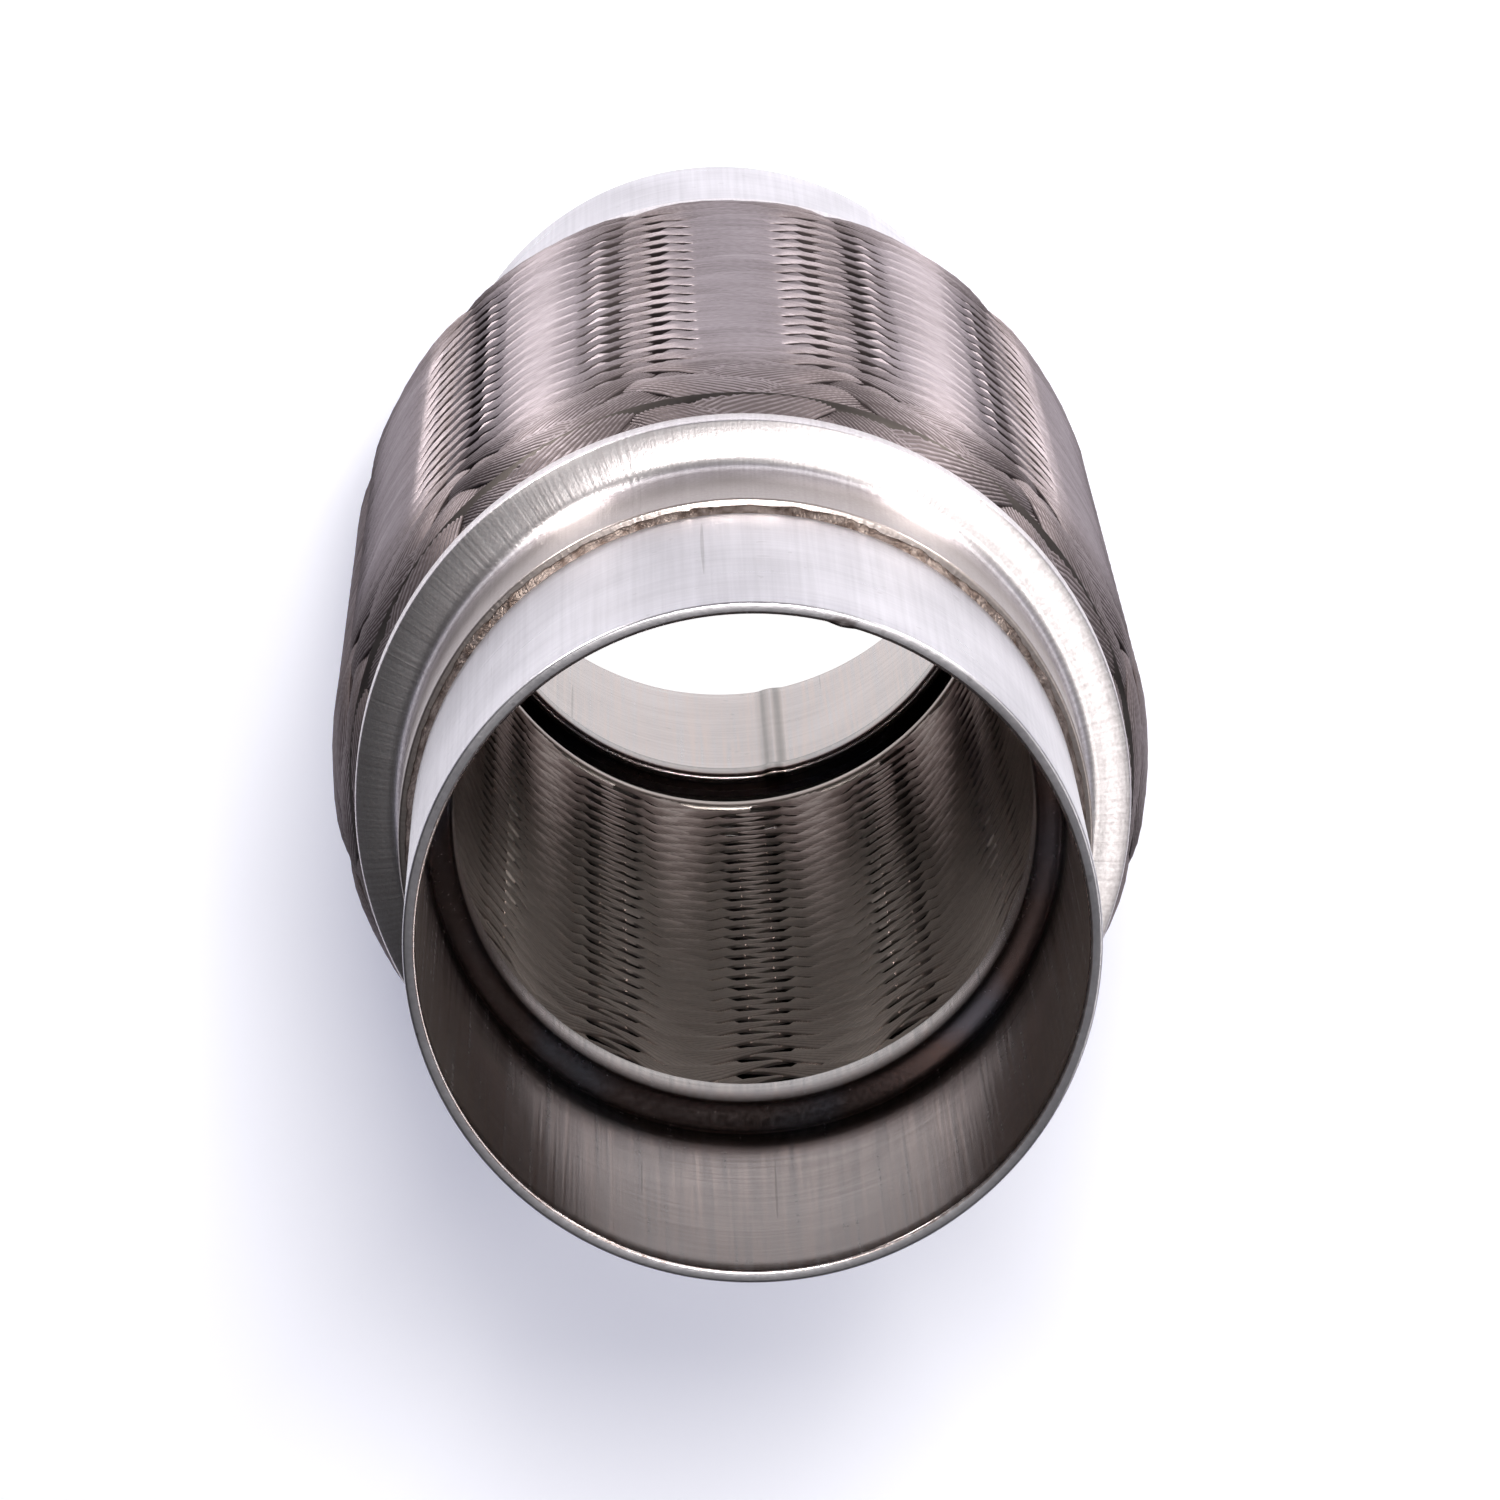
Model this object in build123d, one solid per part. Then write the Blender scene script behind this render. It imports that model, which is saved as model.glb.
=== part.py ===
from build123d import *
import os
from math import cos, radians, sin, tan

os.makedirs("parts", exist_ok=True)

# The pipe stands on its outlet end, with its axis along +Z and z = 0 at the outlet end face.
# A depth is measured in from an end face, and both ends are alike.

# Whole pipe
overall_length = 254.0
fit = 0.05

# Nipples: the welding tubes at the two ends
nipple_radius = 31.75
nipple_wall = 1.2
nipple_straight = 50.0
nipple_edge_break = 0.35
neck_step_length = 2.2
neck_length = 3.0

# Spun caps that clamp the layers on the nipple's neck
cap_wall = 1.2
cap_overlap = 7.0
cap_neck_length = 13.4
cap_fillet_rise = 1.5
cap_fillet_length = 2.4
cap_shoulder_angle = 65.0
cap_shoulder_steps = 3
cap_skirt_rise = 4.5
cap_skirt_length = 2.5

# Weld beads between the caps and the nipples
weld_length = 1.6
weld_height = 0.9
weld_penetration = 0.5

# Layers clamped between the cap and the neck
braid_wall = 0.7
bellows_wall = 0.4
cuff_clearance = 0.2
flare_length = 3.2
flare_clearance = 0.3
return_length = 3.8

# Braid weave: smooth stripes of strands with a laced zone between each two of them
stripe_count = 12
stripe_width_deg = 20.0
row_pitch = 5.3
rib_lean_deg = 24.0
outer_swell_rise = 3.1
outer_swell_length = 11.0
outer_rib_height = 0.7
outer_rib_width = 4.0
inner_bore_set = 0.22
inner_rib_height = 0.5
inner_rib_width = 8.0

# Gaps in the outer braid, in pairs beside each laced zone and one wide row near each cap
gap_rows = 3
gap_width = 1.3
gap_height = 3.0
gap_offset = 2.75
end_gap_distance = 3.6
end_gap_width = 3.4
end_gap_height = 3.8

# Bellows
crest_clearance = 1.2
root_clearance = 0.6
convolution_count = 10

# Radii of the clamped layers, from the cap's bore inwards
# The layers have flats, so each is measured at its corners, and its flats lie nearer to the axis.
flat_share = cos(radians(stripe_width_deg / 2))
braid_step = braid_wall / flat_share
bellows_step = bellows_wall / flat_share
cap_bore = nipple_radius + fit
outer_cuff_corner = cap_bore - fit
bellows_cuff_corner = outer_cuff_corner - braid_step - fit
inner_cuff_corner = bellows_cuff_corner - bellows_step - fit
neck_radius = (inner_cuff_corner - braid_step) * flat_share - fit

# Cap radii and depths
shoulder_turn = 1 - cos(radians(cap_shoulder_angle))
cap_front_depth = nipple_straight - cap_overlap
cap_neck_end_depth = cap_front_depth + cap_neck_length
cap_neck_radius = cap_bore + cap_wall
cap_skirt_radius = cap_neck_radius + cap_skirt_rise
cap_waist_radius = cap_neck_radius + cap_fillet_rise
cap_waist_depth = cap_neck_end_depth + cap_fillet_length
cap_shoulder_radius = (cap_skirt_radius - cap_waist_radius) / shoulder_turn
cap_skirt_depth = cap_waist_depth + cap_shoulder_radius * sin(radians(cap_shoulder_angle))
cap_rear_depth = cap_skirt_depth + cap_skirt_length
cap_skirt_bore = cap_skirt_radius - cap_wall
bend_depth = cap_neck_end_depth + cap_wall / 2
skirt_bend_depth = cap_skirt_depth + cap_wall / 2

# Layer radii and depths beyond the clamp
middle = overall_length / 2
lip_depth = nipple_straight + neck_step_length + neck_length
cuff_depth = nipple_straight + neck_step_length + cuff_clearance
flare_depth = bend_depth + flare_length
flare_share = flare_length / (skirt_bend_depth - bend_depth)
skirt_corner = cap_skirt_bore - fit
outer_flare_corner = outer_cuff_corner + (skirt_corner - outer_cuff_corner) * flare_share
bellows_flare_corner = outer_flare_corner - braid_step - flare_clearance
inner_flare_corner = bellows_flare_corner - bellows_step - fit
inner_full_depth = flare_depth + return_length
outer_full_depth = cap_rear_depth + outer_swell_length
outer_braid_radius = cap_skirt_radius + outer_swell_rise
inner_braid_bore = neck_radius - inner_bore_set
inner_flat_radius = inner_braid_bore + inner_rib_height
inner_braid_corner = inner_flat_radius / flat_share + braid_step
bellows_crest_corner = outer_braid_radius - braid_step - crest_clearance
bellows_skirt_corner = skirt_corner - braid_step - crest_clearance
bellows_root_corner = inner_braid_corner + bellows_step + root_clearance

# Angles of the weave
stripe_pitch_deg = 360.0 / stripe_count
laced_width_deg = stripe_pitch_deg - stripe_width_deg
laced_share = cos(radians(laced_width_deg / 2))
outer_laced_flat = outer_braid_radius * laced_share


def turned(profile):
    """A solid of revolution about the pipe's axis from a closed (radius, z) outline."""
    outline = Wire.make_polygon([(r, 0, z) for r, z in profile])
    return revolve(Face(outline), axis=Axis.Z)


def at_inlet(solid):
    """The same piece at the other end of the pipe."""
    return mirror(solid, about=Plane.XY.offset(middle))


def whole_outline(outside, inside):
    """A closed outline from the outlet half of a wall's outside and inside."""
    upper_outside = [(r, overall_length - z) for r, z in reversed(outside)]
    upper_inside = [(r, overall_length - z) for r, z in inside]
    return outside + upper_outside + upper_inside + list(reversed(inside))


def flat_sided(profile):
    """A wall made of flats, wide under each stripe and narrow under each laced zone."""
    angles = []
    for stripe in range(stripe_count):
        centre = stripe * stripe_pitch_deg
        angles += [centre - stripe_width_deg / 2, centre + stripe_width_deg / 2]
    faces = []
    for (r0, z0), (r1, z1) in zip(profile, profile[1:] + profile[:1]):
        for start, end in zip(angles, angles[1:] + [angles[0] + 360]):
            corners = [(r0, z0, start), (r0, z0, end), (r1, z1, end), (r1, z1, start)]
            points = [(r * cos(radians(a)), r * sin(radians(a)), z) for r, z, a in corners]
            faces.append(Face(Wire.make_polygon(points)))
    return Solid(Shell(faces))


def ribbed_strip(angle, root, crest, base, width, lean):
    """Strand ends lying side by side up a strip of the braid: a saw-toothed bar that leans."""
    span = overall_length - 2 * outer_full_depth
    rows = int(span / row_pitch)
    bottom = middle - rows * row_pitch / 2
    out = Vector(cos(radians(angle)), sin(radians(angle)), 0)
    along = Vector(-sin(radians(angle)), cos(radians(angle)), 0)
    rise = Vector(0, 0, width * tan(radians(lean)))
    start = along * (-width / 2) - rise / 2
    teeth = [(base, bottom)]
    for row in range(rows):
        teeth += [(root, bottom + row * row_pitch), (crest, bottom + (row + 0.5) * row_pitch)]
    teeth += [(root, bottom + rows * row_pitch), (base, bottom + rows * row_pitch)]
    points = [out * r + start + Vector(0, 0, z) for r, z in teeth]
    return Solid.extrude(Face(Wire.make_polygon(points)), along * width + rise)


def gap(angle, offset, depth, width, height):
    """A three-cornered opening between strands, cut straight in towards the axis."""
    out = Vector(cos(radians(angle)), sin(radians(angle)), 0)
    along = Vector(-sin(radians(angle)), cos(radians(angle)), 0)
    side = 1 if offset >= 0 else -1
    centre = out * inner_braid_corner + along * offset + Vector(0, 0, depth)
    tip = along * (side * width / 2)
    tall = Vector(0, 0, height / 2)
    face = Face(Wire.make_polygon([centre + tip, centre - tip + tall, centre - tip - tall]))
    return Solid.extrude(face, out * outer_braid_radius)


def nipple():
    """End tube with its reduced neck, which the braids and the bellows are clamped on."""
    bore = nipple_radius - nipple_wall
    neck_bore = neck_radius - nipple_wall
    step_end = nipple_straight + neck_step_length
    return turned(
        [
            (bore, 0),
            (nipple_radius - nipple_edge_break, 0),
            (nipple_radius, nipple_edge_break),
            (nipple_radius, cap_front_depth - weld_length),
            (nipple_radius - weld_penetration, cap_front_depth - weld_length / 2),
            (nipple_radius, cap_front_depth),
            (nipple_radius, nipple_straight),
            (neck_radius, step_end),
            (neck_radius, lip_depth),
            (neck_bore, lip_depth),
            (neck_bore, step_end - nipple_edge_break),
            (bore, nipple_straight - nipple_edge_break),
        ]
    )


def cap():
    """Spun collar: a neck on the nipple, a rounded shoulder and a skirt over the outer braid."""
    shoulder = []
    for step in range(cap_shoulder_steps + 1):
        turn = radians(cap_shoulder_angle * (1 - step / cap_shoulder_steps))
        radius = cap_skirt_radius - cap_shoulder_radius * (1 - cos(turn))
        shoulder.append((radius, cap_skirt_depth - cap_shoulder_radius * sin(turn)))
    neck = [
        (cap_bore, cap_front_depth),
        (cap_neck_radius, cap_front_depth),
        (cap_neck_radius, cap_neck_end_depth),
    ]
    skirt_and_inside = [
        (cap_skirt_radius, cap_rear_depth),
        (cap_skirt_bore, cap_rear_depth),
        (cap_skirt_bore, skirt_bend_depth),
        (cap_bore, bend_depth),
    ]
    return turned(neck + shoulder + skirt_and_inside)


def weld():
    """Fillet bead that joins the cap's front edge to the nipple, with its root in the nipple's wall."""
    return turned(
        [
            (nipple_radius, cap_front_depth - weld_length),
            (nipple_radius + weld_height, cap_front_depth),
            (nipple_radius, cap_front_depth),
            (nipple_radius - weld_penetration, cap_front_depth - weld_length / 2),
        ]
    )


def bellows():
    """Gas-tight corrugated tube with a plain cuff at each end."""
    cuff = [
        (bellows_cuff_corner, cuff_depth),
        (bellows_cuff_corner, bend_depth),
        (bellows_flare_corner, flare_depth),
        (bellows_skirt_corner, cap_rear_depth),
    ]
    pitch = (overall_length - 2 * outer_full_depth) / (convolution_count - 1)
    folds = [(bellows_crest_corner, outer_full_depth)]
    for number in range(1, convolution_count):
        crest = outer_full_depth + number * pitch
        folds += [(bellows_root_corner, crest - pitch / 2), (bellows_crest_corner, crest)]
    skin = cuff + folds + [(r, overall_length - z) for r, z in reversed(cuff)]
    inner_skin = [(corner - bellows_step, z) for corner, z in reversed(skin)]
    return flat_sided(skin + inner_skin)


def braid_wall_outline(outside):
    """The outline of a braid from the outlet half of its outer corners."""
    inside = [(corner - braid_step, z) for corner, z in outside]
    return whole_outline(outside, inside)


def outer_braid():
    """Woven sleeve over the bellows, with its laced ribs and the gaps between its strands."""
    outside = [
        (outer_cuff_corner, cuff_depth),
        (outer_cuff_corner, bend_depth),
        (skirt_corner, skirt_bend_depth),
        (skirt_corner, cap_rear_depth),
        (outer_braid_radius, outer_full_depth),
    ]
    wall = flat_sided(braid_wall_outline(outside))
    base = outer_laced_flat - braid_wall / 2
    crest = outer_laced_flat + outer_rib_height
    end_gap_depth = cap_rear_depth + end_gap_distance
    spacing = (overall_length - 2 * outer_full_depth) / gap_rows
    strips = []
    gaps = []
    for stripe in range(stripe_count):
        angle = (stripe + 0.5) * stripe_pitch_deg
        lean = rib_lean_deg * (-1) ** stripe
        strips.append(ribbed_strip(angle, outer_laced_flat, crest, base, outer_rib_width, lean))
        for depth in (end_gap_depth, overall_length - end_gap_depth):
            gaps.append(gap(angle, 0, depth, end_gap_width, end_gap_height))
        for row in range(gap_rows):
            for side in (-1, 1):
                depth = outer_full_depth + (row + 0.5 + side / 4) * spacing
                gaps.append(gap(angle, side * gap_offset, depth, gap_width, gap_height))
    return (wall + strips) - gaps


def inner_braid():
    """Woven liner inside the bellows, ribbed towards the gas passage."""
    outside = [
        (inner_cuff_corner, cuff_depth),
        (inner_cuff_corner, bend_depth),
        (inner_flare_corner, flare_depth),
        (inner_braid_corner, inner_full_depth),
    ]
    wall = flat_sided(braid_wall_outline(outside))
    base = inner_flat_radius + braid_wall / 2
    strips = []
    for stripe in range(stripe_count):
        angle = stripe * stripe_pitch_deg
        lean = rib_lean_deg * (-1) ** stripe
        strips.append(
            ribbed_strip(angle, inner_flat_radius, inner_braid_bore, base, inner_rib_width, lean)
        )
    return wall + strips


pieces = {
    "inlet_nipple": at_inlet(nipple()),
    "outlet_nipple": nipple(),
    "inlet_cap": at_inlet(cap()),
    "outlet_cap": cap(),
    "inlet_weld": at_inlet(weld()),
    "outlet_weld": weld(),
    "bellows": bellows(),
    "outer_braid": outer_braid(),
    "inner_braid": inner_braid(),
}

for name, piece in pieces.items():
    export_step(piece, f"parts/{name}.step")
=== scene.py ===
"""Exhaust flex pipe: tube ends, spun caps, welds, bellows and two woven wire layers."""

from math import atan2, cos, pi, radians, sin

import bpy
from bpy.props import FloatProperty, IntProperty, PointerProperty, StringProperty
from mathutils import Matrix, Vector, noise


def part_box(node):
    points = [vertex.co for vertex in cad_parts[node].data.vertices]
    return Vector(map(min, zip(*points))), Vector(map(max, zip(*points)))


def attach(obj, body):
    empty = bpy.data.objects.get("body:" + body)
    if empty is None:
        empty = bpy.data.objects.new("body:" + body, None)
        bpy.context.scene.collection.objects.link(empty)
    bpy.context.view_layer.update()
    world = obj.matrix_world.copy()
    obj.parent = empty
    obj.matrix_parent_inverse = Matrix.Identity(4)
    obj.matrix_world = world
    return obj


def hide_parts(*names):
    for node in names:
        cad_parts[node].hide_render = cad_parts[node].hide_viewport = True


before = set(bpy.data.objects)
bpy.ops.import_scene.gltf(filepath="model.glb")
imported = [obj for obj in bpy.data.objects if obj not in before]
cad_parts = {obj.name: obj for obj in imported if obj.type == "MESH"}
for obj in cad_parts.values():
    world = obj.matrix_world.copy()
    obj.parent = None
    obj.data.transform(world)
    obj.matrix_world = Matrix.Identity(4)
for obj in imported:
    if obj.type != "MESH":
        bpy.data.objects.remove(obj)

bl_info = {
    "name": "Exhaust flex pipe",
    "version": (1, 0, 0),
    "blender": (4, 5, 0),
    "location": "View3D > Sidebar > Flex Pipe",
    "description": "Dresses the flex pipe's solids with woven wire, spun caps and welded tube ends",
    "category": "Object",
}

MM = 0.001
STRIPES = 12
STRANDS = 24
STRAND_PITCH = 2 * pi / STRANDS
# How far a strand's sections gather where it dives, and how far apart its rows stand at the ends
GATHER = 0.4
STAND_APART = 0.72
# Steps round the pipe of turned pieces, of the rippled welds and of the liner's hem
ROUND = 288
WELD_ROUND = 360
HEM_ROUND = 240
PIPE_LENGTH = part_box("inlet_nipple")[1].z
MATH = "ShaderNodeMath"


def length(name, description, default):
    """A size in metres, given in millimetres."""
    return FloatProperty(name=name, description=description, default=default * MM, unit="LENGTH", precision=5)


def angle(name, description, default):
    """An angle, given in degrees."""
    return FloatProperty(name=name, description=description, default=radians(default), unit="ROTATION")


def share(name, description, default):
    """A plain number."""
    return FloatProperty(name=name, description=description, default=default, precision=3)


def number(name, description, default):
    """A whole number."""
    return IntProperty(name=name, description=description, default=default)


def titled(name):
    """The name that a size has in the panel and in the geometry trees."""
    return name.replace("_", " ").title()


def colour(name, description, default):
    """A colour, given as an sRGB hex value."""
    return StringProperty(name=name, description=description, default=default)


class TubeSizes(bpy.types.PropertyGroup):
    radius: length("Radius", "Outside radius of the tube ends", 31.75)
    wall: length("Wall", "Wall of the tube ends", 1.2)
    straight: length("Straight", "Full-size length of a tube end", 50.0)
    step: length("Step", "Length of the step down to the neck", 2.2)
    run_out: length("Run Out", "How much longer the step is inside than outside", 0.6)
    lip: length("Lip Depth", "Depth of the outlet's lip behind the end face", 55.2)
    inlet_lip: length("Inlet Lip Depth", "Depth of the inlet's lip behind the end face", 59.6)
    lip_bore: length("Lip Bore", "Inside radius of the lip", 27.96)
    edge: length("Edge", "Rounding of the cut edges", 0.3)
    seam_width: length("Seam Width", "Width of the tube's long seam inside", 3.0)
    seam_height: length("Seam Height", "Height of the tube's long seam inside", 0.2)
    heat_depth: length("Heat Depth", "Depth from which the weld's heat has coloured the steel", 42.0)
    outlet_seam: angle("Outlet Seam", "Where the outlet tube's seam lies round the axis", -79)
    inlet_seam: angle("Inlet Seam", "Where the inlet tube's seam lies round the axis", 75)
    steel: colour("Steel", "Drawn stainless tube", "#c3c0c5")
    dull: colour("Dull Steel", "The same tube where it is scuffed", "#a3a0a5")
    warm: colour("Warm Steel", "The same tube inside, warmed by the hot ends", "#bfa8a0")
    brown: colour("Brown", "Steel browned by the weld's heat", "#3a2c28")
    blue: colour("Blue", "Steel blued by the weld's heat", "#3f4a58")


class CapSizes(bpy.types.PropertyGroup):
    front: length("Front", "Depth of the cap's front edge", 43.0)
    neck_radius: length("Neck Radius", "Outside radius of the cap's neck", 33.0)
    neck_end: length("Neck End", "Depth where the neck turns into the fillet", 56.4)
    fillet: length("Fillet", "Radius of the fillet between neck and flange", 2.0)
    rim: length("Rim", "Radius of the flange's rounded rim", 0.4)
    turn: angle("Turn", "How far the fillet turns outwards", 72)
    rim_turn: angle("Rim Turn", "Slope of the flange where its rim begins", 58)
    skirt_radius: length("Skirt Radius", "Outside radius of the skirt", 37.5)
    rear: length("Rear", "Depth of the skirt's rear edge", 63.0)
    wall: length("Wall", "Sheet thickness", 1.2)
    edge: length("Edge", "Rounding of the cut edges", 0.3)
    steel: colour("Steel", "Spun stainless sheet", "#dad5d7")
    dull: colour("Dull Steel", "The same sheet between its grains", "#b2aaac")
    brown: colour("Brown", "Neck browned by the weld's heat", "#807570")


class WeldSizes(bpy.types.PropertyGroup):
    length: length("Length", "How far the bead lies on the tube", 1.1)
    height: length("Height", "Height of the bead at the cap's edge", 0.6)
    ripple: length("Ripple", "Unevenness of the bead", 0.25)
    root: length("Root", "How deep the bead's root lies in the tube's wall", 0.3)
    cover: length("Cover", "How far the bead laps onto the cap's edge", 0.3)
    metal: colour("Metal", "Weld metal", "#7f736d")
    burnt: colour("Burnt", "Burnt edge of the bead", "#4a3d37")


class BellowsSizes(bpy.types.PropertyGroup):
    folds: number("Folds", "Number of folds", 30)
    crest: length("Crest", "Outside radius of the folds", 38.3)
    root: length("Root", "Inside radius of the folds", 32.2)
    wall: length("Wall", "Sheet thickness", 0.4)
    end: length("End", "Depth at which the folds end", 68.0)
    steel: colour("Steel", "Formed stainless sheet, dulled by heat", "#5c5653")
    dull: colour("Dull Steel", "The same sheet in its folds", "#3c3735")


# What both woven layers have: kind, description, the sleeve's default, the liner's default
WEAVE = {
    "row_pitch": (length, "Height between neighbouring strands", 5.3, 4.4),
    "strand_width": (length, "Height of a strand along the pipe", 5.1, 4.2),
    "strand_thickness": (length, "Thickness of a strand", 0.4, 0.3),
    "wire_height": (length, "Depth of the grooves between wires", 0.13, 0.12),
    "wires": (number, "Wires in a strand", 13, 8),
    "sections": (number, "Steps along a strand", 118, 124),
    "lift": (length, "How far a strand rises and dips over the others", 0.27, 0.3),
    "low_end": (length, "Depth of the strands' middles at the outlet", 60.4, 65.5),
    "high_end": (length, "Depth of the strands' middles at the inlet", 60.4, 57),
    "low_cut": (length, "Depth of the strands' cut ends at the outlet", 61.5, 64.4),
    "high_cut": (length, "Depth of the strands' cut ends at the inlet", 61.5, 55.5),
    "end_arc": (angle, "Arc over which the strands steepen towards an end", 50, 130),
    "end_rise": (length, "Extra rise of a strand over that arc", 4.2, 9.5),
    "low_share": (share, "How much of that the outlet end has", 1, 0),
    "steepen": (share, "How much steeper a strand lies in the middle of a stripe", -0.5, -0.3),
    "pinch": (share, "How much a strand is pinched beside a gap", 0.6, 0.7),
    "gap_angle": (angle, "How far the gaps lie from the middle of a stripe", 10.5, 9),
    "gap_reach": (angle, "How far a pinch reaches along a strand", 6.5, 8.5),
    "skew": (angle, "How far the dive of a strand lags across its width", 11, 12),
    "dive_shift": (angle, "How far past the middle of a stripe a strand dives", 3, 1),
    "sharpness": (share, "How quickly a strand dives", 1.3, 1.2),
    "crown": (length, "How far a laced strand's edges lie below its middle", 0.4, 0.28),
    "open_length": (length, "Length over which the strands draw apart towards an end", 26, 36),
    "end_spread": (share, "How much higher a strand lies along the pipe at an end", 1.15, -0.2),
    "end_lift": (share, "How much further a strand rises and dips at an end", 0.5, 0.7),
    "unevenness": (length, "How far a strand wanders from its line", 0.5, 0.6),
    "stripe_angle": (angle, "How far the stripes are turned round the axis", 0, -10),
    "cap_depth": (length, "Depth at which the layer's end begins", 66, 65.5),
    "swell_length": (length, "Length over which the layer swells from there", 15, 10),
    "swell_power": (share, "How quickly the layer swells", 2.1, 1),
}
WIRE = {
    # Painted shade: how much darker the wire is painted where strands lace and near the caps; it also makes
    # the wire rougher there
    "grime": (share, "How much darker the wire is where strands lace", 0.42, 0.12),
    # The liner's colours are much lighter than the sleeve's: painted light for the dim inside of the pipe
    "wire": (colour, "Drawn stainless wire", "#aba1a6", "#dcd2cd"),
    # The dark colour is painted shade in the grooves and where strands lace, and real dullness in rubbed and
    # dull strands
    "dark": (colour, "The same wire in the grooves and in dull strands", "#5f5657", "#a99e9a"),
}


def woven_sizes(layer):
    """What both woven layers have, with the defaults of layer 0, the sleeve, or 1, the liner."""
    rows = (WEAVE | WIRE).items()
    return {name: kind(titled(name), says, defaults[layer]) for name, (kind, says, *defaults) in rows}


class SleeveSizes(bpy.types.PropertyGroup):
    skirt_radius: length("Skirt Radius", "Middle radius of the braid in the cap's skirt", 36.0)
    __annotations__.update(woven_sizes(0))


class LinerSizes(bpy.types.PropertyGroup):
    radius: length("Radius", "Inside radius of the liner", 29.1)
    hem: length("Hem", "Height of the rolled hem at the liner's outlet end", 2.2)
    hem_roll: length("Hem Roll", "Radius of the hem's rounded edges", 0.6)
    hem_reach: length("Hem Reach", "How far the hem stands in from the liner", 0.05)
    __annotations__.update(woven_sizes(1))


class StageSizes(bpy.types.PropertyGroup):
    lens: share("Lens", "Focal length in mm", 232.8)
    tilt: angle("Tilt", "Angle between the view and the pipe's axis, up and down", 12.2866)
    turn: angle("Turn", "Angle between the view and the pipe's axis, sideways", -0.8777)
    distance: length("Distance", "From the camera to the near rim, along the view", 878.14)
    drop: length("Drop", "Near rim's centre below the middle of the view", 17.659)
    aside: length("Aside", "Near rim's centre right of the middle of the view", 0.25)
    table: length("Table", "Width of the table", 8000)
    floor: colour("Floor", "Matt white table", "#f4f4f6")
    shade: colour("Shade", "What the table shows where no lamp reaches it", "#bcc2ff")
    lift: share("Lift", "How much lighter than lit the table looks, where 1 is white", 0.19)


def linear(hex_value):
    """The linear RGBA colour of an sRGB hex value."""
    channels = [int(hex_value[i : i + 2], 16) / 255 for i in (1, 3, 5)]
    return [c / 12.92 if c <= 0.04045 else ((c + 0.055) / 1.055) ** 2.4 for c in channels] + [1.0]


def add(tree, kind, inputs=(), **settings):
    """Adds a node with its settings, and fills its inputs with values, nodes or sockets."""
    node = tree.nodes.new(kind)
    for name, value in settings.items():
        setattr(node, name, value)
    for key, value in inputs.items() if isinstance(inputs, dict) else enumerate(inputs):
        if isinstance(value, bpy.types.Node):
            value = value.outputs[0]
        if isinstance(value, bpy.types.NodeSocket):
            tree.links.new(value, node.inputs[key])
        elif value is not None:
            node.inputs[key].default_value = value
    return node


def new_material(name):
    """A material, its node tree and the Object coordinates in it."""
    material = bpy.data.materials.new(name)
    material.use_nodes = True
    tree = material.node_tree
    tree.nodes.clear()
    return material, tree, add(tree, "ShaderNodeTexCoord").outputs["Object"]


def linked(name, data):
    """A new object in the scene."""
    made = bpy.data.objects.new(name, data)
    bpy.context.scene.collection.objects.link(made)
    return made


def put(name, mesh, material, node):
    """Places a finished mesh as a piece of the pipe that stands for its CAD node."""
    piece = linked(name, mesh)
    mesh.materials.clear()
    mesh.materials.append(material)
    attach(piece, "root")
    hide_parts(node)


def lathe(name, outline, segments=ROUND, shape=None):
    """A closed solid of revolution, from an outline of (radius, height) with the metal on its left."""
    count = len(outline)
    points = []
    for k in range(segments):
        turn = 2 * pi * k / segments
        for r, z in outline:
            if shape:
                r, z = shape(r, z, turn)
            points.append((r * cos(turn), r * sin(turn), z))
    faces = []
    for k in range(segments):
        here, there = k * count, (k + 1) % segments * count
        for i in range(count):
            j = (i + 1) % count
            faces.append((here + i, there + i, there + j, here + j))
    mesh = bpy.data.meshes.new(name)
    mesh.from_pydata(points, [], faces)
    mesh.validate()
    mesh.shade_smooth()
    mesh.set_sharp_from_angle(angle=radians(40))
    return mesh


def arc(centre_r, centre_z, radius, start, end, steps):
    """Points of a circular arc in the (radius, depth) plane, angles from +radius towards +depth."""
    turns = [start + (end - start) * k / steps for k in range(steps + 1)]
    return [(centre_r + radius * cos(t), centre_z + radius * sin(t)) for t in turns]


def at_end(node, outline):
    """An outline of (radius, depth) as heights at the node's own end, still with the metal on its left."""
    if node.startswith("outlet"):
        return outline
    return [(r, PIPE_LENGTH - z) for r, z in reversed(outline)]


# Signs for sums, of which the last multiplies two values and adds a third
SIGNS = {"+": "ADD", "-": "SUBTRACT", "*": "MULTIPLY", "/": "DIVIDE", "*+": "MULTIPLY_ADD"}


def work_out(tree, known, *rows):
    """Adds a sum for each row of (result, operation, values), where a value is a number or an earlier result.

    An operation marked CLAMPED gives at least 0 and at most 1.
    """
    for result, operation, *values in rows:
        sockets = [known[value] if isinstance(value, str) else value for value in values]
        clamped = operation.startswith("CLAMPED ")
        operation = operation.removeprefix("CLAMPED ")
        operation = SIGNS.get(operation, operation)
        known[result] = add(tree, MATH, sockets, operation=operation, use_clamp=clamped)


def layered(tree, known, base, *layers):
    """A base colour with layers of (result that gives their share, colour) laid over it."""
    for part, over in layers:
        base, over = (linear(c) if isinstance(c, str) else c for c in (base, over))
        base = add(tree, "ShaderNodeMix", {0: known[part], 6: base, 7: over}, data_type="RGBA").outputs[2]
    return base


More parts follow.
